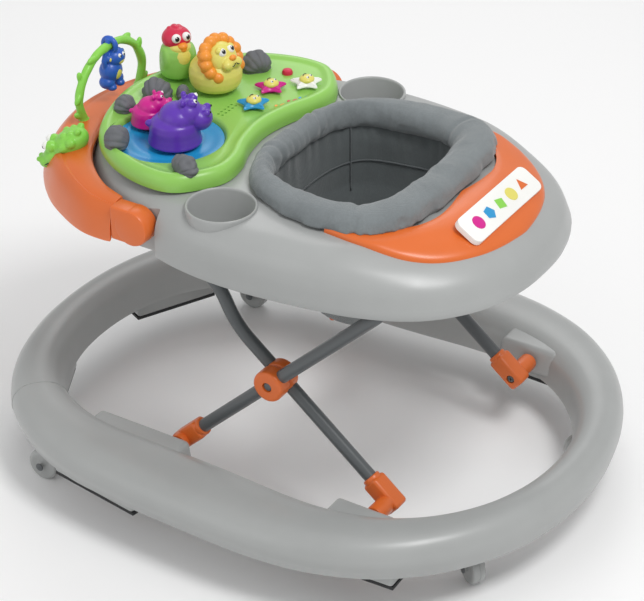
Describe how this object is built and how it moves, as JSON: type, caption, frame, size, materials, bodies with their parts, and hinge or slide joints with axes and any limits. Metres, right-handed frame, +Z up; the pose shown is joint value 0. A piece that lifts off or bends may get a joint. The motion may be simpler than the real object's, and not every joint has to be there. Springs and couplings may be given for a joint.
{
  "type": "baby walker",
  "caption": "Baby walker: oval base on swivel casters, folding crossed tube frame, tray with fabric seat, cup wells, toy panel and hinged front handle.",
  "frame": {"origin": "on the floor under the middle of the base", "axes": "+Z up, -Y towards the toy panel and front handle, +X to the child's left"},
  "size_m": [0.6208, 0.748, 0.4938],
  "materials": {
    "shell_grey": "satin moulded plastic",
    "orange_plastic": "satin moulded plastic",
    "tube_grey": "grey powder coat",
    "rubber_black": "matt",
    "seat_fabric": "woven polyester",
    "green_plastic": "satin moulded plastic",
    "blue_plastic": "satin moulded plastic",
    "purple_plastic": "satin moulded plastic",
    "magenta_plastic": "satin moulded plastic",
    "yellow_plastic": "satin moulded plastic",
    "white_plastic": "satin moulded plastic",
    "rock_grey": "textured"
  },
  "bodies": {
    "base": {"base_ring": "shell_grey", "stop_strip_front_left": "rubber_black", "stop_strip_front_right": "rubber_black", "stop_strip_side_left": "rubber_black", "stop_strip_side_right": "rubber_black", "stop_strip_rear_left": "rubber_black", "stop_strip_rear_right": "rubber_black"},
    "swivel_front_left": {"caster_fork_front_left": "shell_grey"},
    "swivel_front_right": {"caster_fork_front_right": "shell_grey"},
    "swivel_rear_left": {"caster_fork_rear_left": "shell_grey"},
    "swivel_rear_right": {"caster_fork_rear_right": "shell_grey"},
    "wheel_front_left": {"caster_wheel_front_left": "shell_grey"},
    "wheel_front_right": {"caster_wheel_front_right": "shell_grey"},
    "wheel_rear_left": {"caster_wheel_rear_left": "shell_grey"},
    "wheel_rear_right": {"caster_wheel_rear_right": "shell_grey"},
    "inner_frame": {"frame_inner_tube": "tube_grey", "foot_socket_rear_left": "orange_plastic", "foot_socket_rear_right": "orange_plastic", "hub_inner_left": "orange_plastic", "hub_inner_right": "orange_plastic"},
    "outer_frame": {"frame_outer_tube": "tube_grey", "foot_socket_front_left": "orange_plastic", "foot_socket_front_right": "orange_plastic", "hub_outer_left": "orange_plastic", "hub_outer_right": "orange_plastic"},
    "tray": {"tray_shell": "shell_grey", "rear_cover": "orange_plastic", "name_plate": "white_plastic", "seat_rim": "seat_fabric", "seat_bucket": "seat_fabric", "tray_saddle_left": "shell_grey", "tray_saddle_right": "shell_grey", "tray_guide_left": "shell_grey", "tray_guide_right": "shell_grey", "panel_top": "green_plastic", "panel_base": "shell_grey", "battery_lid": "shell_grey", "pond_disc": "blue_plastic", "rock_front": "rock_grey", "rock_side": "rock_grey", "rock_corner": "rock_grey", "rock_middle": "rock_grey", "rock_small": "rock_grey", "rock_far": "rock_grey"},
    "handle": {"handle_bar": "orange_plastic", "handle_knuckle_left": "orange_plastic", "handle_knuckle_right": "orange_plastic", "vine_arch": "green_plastic", "croc_head": "green_plastic"},
    "monkey": {"monkey": "blue_plastic"},
    "hippo_big": {"hippo_big": "purple_plastic"},
    "hippo_small": {"hippo_small": "magenta_plastic"},
    "lion": {"spinner_lion": "yellow_plastic"},
    "frog": {"spinner_frog": "green_plastic"},
    "star_blue": {"star_button_blue": "blue_plastic"},
    "star_magenta": {"star_button_magenta": "magenta_plastic"},
    "star_white": {"star_button_white": "white_plastic"}
  },
  "joints": [
    {"name": "swivel_front_left", "type": "hinge", "parent": "base", "child": "swivel_front_left", "pos_m": [0.231, -0.253, 0.06], "axis": [0, 0, 1], "continuous": true},
    {"name": "roll_front_left", "type": "hinge", "parent": "swivel_front_left", "child": "wheel_front_left", "pos_m": [0.231, -0.244, 0.02], "axis": [1, 0, 0], "continuous": true},
    {"name": "swivel_front_right", "type": "hinge", "parent": "base", "child": "swivel_front_right", "pos_m": [-0.231, -0.253, 0.06], "axis": [0, 0, 1], "continuous": true},
    {"name": "roll_front_right", "type": "hinge", "parent": "swivel_front_right", "child": "wheel_front_right", "pos_m": [-0.231, -0.244, 0.02], "axis": [1, 0, 0], "continuous": true},
    {"name": "swivel_rear_left", "type": "hinge", "parent": "base", "child": "swivel_rear_left", "pos_m": [0.142, 0.302, 0.06], "axis": [0, 0, 1], "continuous": true},
    {"name": "roll_rear_left", "type": "hinge", "parent": "swivel_rear_left", "child": "wheel_rear_left", "pos_m": [0.13684, 0.29463, 0.02], "axis": [-0.8192, 0.5736, 0], "continuous": true},
    {"name": "swivel_rear_right", "type": "hinge", "parent": "base", "child": "swivel_rear_right", "pos_m": [-0.142, 0.302, 0.06], "axis": [0, 0, 1], "continuous": true},
    {"name": "roll_rear_right", "type": "hinge", "parent": "swivel_rear_right", "child": "wheel_rear_right", "pos_m": [-0.13684, 0.29463, 0.02], "axis": [-0.8192, -0.5736, 0], "continuous": true},
    {"name": "frame_fold", "type": "hinge", "parent": "base", "child": "inner_frame", "pos_m": [0, 0.193, 0.084], "axis": [1, 0, 0], "range_deg": [0, 30]},
    {"name": "frame_cross", "type": "hinge", "parent": "inner_frame", "child": "outer_frame", "pos_m": [0, 0.046, 0.203], "axis": [1, 0, 0], "range_deg": [-65, 0]},
    {"name": "tray_level", "type": "hinge", "parent": "outer_frame", "child": "tray", "pos_m": [0, 0.1895, 0.343], "axis": [1, 0, 0], "range_deg": [0, 35]},
    {"name": "handle_lift", "type": "hinge", "parent": "tray", "child": "handle", "pos_m": [0, -0.114, 0.377], "axis": [-1, 0, 0], "range_deg": [0, 12]},
    {"name": "monkey_swing", "type": "hinge", "parent": "handle", "child": "monkey", "pos_m": [0, -0.292, 0.472], "axis": [1, 0, 0], "range_deg": [-35, 24]},
    {"name": "hippo_big_press", "type": "slide", "parent": "tray", "child": "hippo_big", "axis": [0, 0, -1], "range_m": [0, 0.003], "stiffness_N_per_m": 900},
    {"name": "hippo_small_press", "type": "slide", "parent": "tray", "child": "hippo_small", "axis": [0, 0, -1], "range_m": [0, 0.003], "stiffness_N_per_m": 900},
    {"name": "lion_spin", "type": "hinge", "parent": "tray", "child": "lion", "pos_m": [-0.044, -0.169, 0.432], "axis": [0, 0, 1], "continuous": true},
    {"name": "frog_spin", "type": "hinge", "parent": "tray", "child": "frog", "pos_m": [-0.047, -0.226, 0.432], "axis": [0, 0, 1], "continuous": true},
    {"name": "star_blue_press", "type": "slide", "parent": "tray", "child": "star_blue", "axis": [0, 0, -1], "range_m": [0, 0.002], "stiffness_N_per_m": 400},
    {"name": "star_magenta_press", "type": "slide", "parent": "tray", "child": "star_magenta", "axis": [0, 0, -1], "range_m": [0, 0.002], "stiffness_N_per_m": 400},
    {"name": "star_white_press", "type": "slide", "parent": "tray", "child": "star_white", "axis": [0, 0, -1], "range_m": [0, 0.002], "stiffness_N_per_m": 400}
  ],
  "couplings": [
    {"joint": "frame_cross", "follows": "frame_fold", "ratio": -2.155},
    {"joint": "tray_level", "follows": "frame_fold", "ratio": 1.155}
  ]
}
